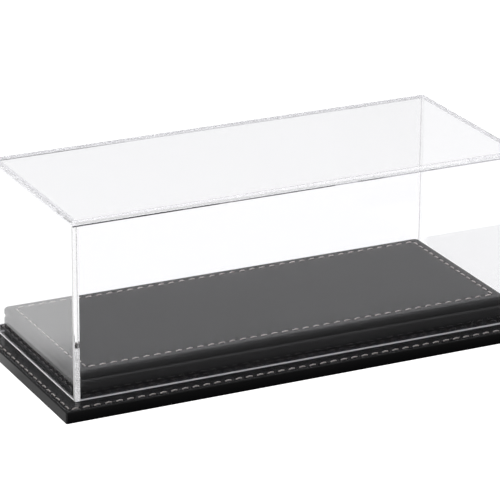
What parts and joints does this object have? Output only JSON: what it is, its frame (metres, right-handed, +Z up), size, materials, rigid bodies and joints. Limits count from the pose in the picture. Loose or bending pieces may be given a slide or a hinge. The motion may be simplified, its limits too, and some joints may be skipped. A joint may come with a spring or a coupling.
{
  "type": "display case",
  "caption": "Clear rectangular cover that lifts off a raised, stitched black leatherette base, to keep dust off a scale model on show.",
  "frame": {"origin": "middle of the underside of the base, on the surface it stands on", "axes": "+X along the length to the right, +Y to the back, +Z up"},
  "size_m": [0.326, 0.1492, 0.1238],
  "materials": {
    "acrylic": "polished",
    "leatherette": "satin",
    "thread": "matte",
    "fibreboard": "matte",
    "foam": "matte",
    "bond_sheet": "matte",
    "felt": "matte",
    "zinc_steel": "satin"
  },
  "bodies": {
    "base": {"plinth_board": "fibreboard", "plinth_leather": "leatherette", "plinth_stitching": "thread", "underside_felt": "felt", "riser_board": "fibreboard", "riser_leather": "leatherette", "riser_bond_sheet": "bond_sheet", "deck_board": "fibreboard", "deck_padding": "foam", "deck_leather": "leatherette", "deck_stitching": "thread", "deck_bond_sheet": "bond_sheet", "base_screws": "zinc_steel"},
    "cover": {"cover_top_sheet": "acrylic", "cover_front_sheet": "acrylic", "cover_back_sheet": "acrylic", "cover_left_sheet": "acrylic", "cover_right_sheet": "acrylic"}
  },
  "joints": [
    {"name": "cover_lift", "type": "slide", "parent": "base", "child": "cover", "axis": [0, 0, 1], "range_m": [0, 0.15]}
  ]
}
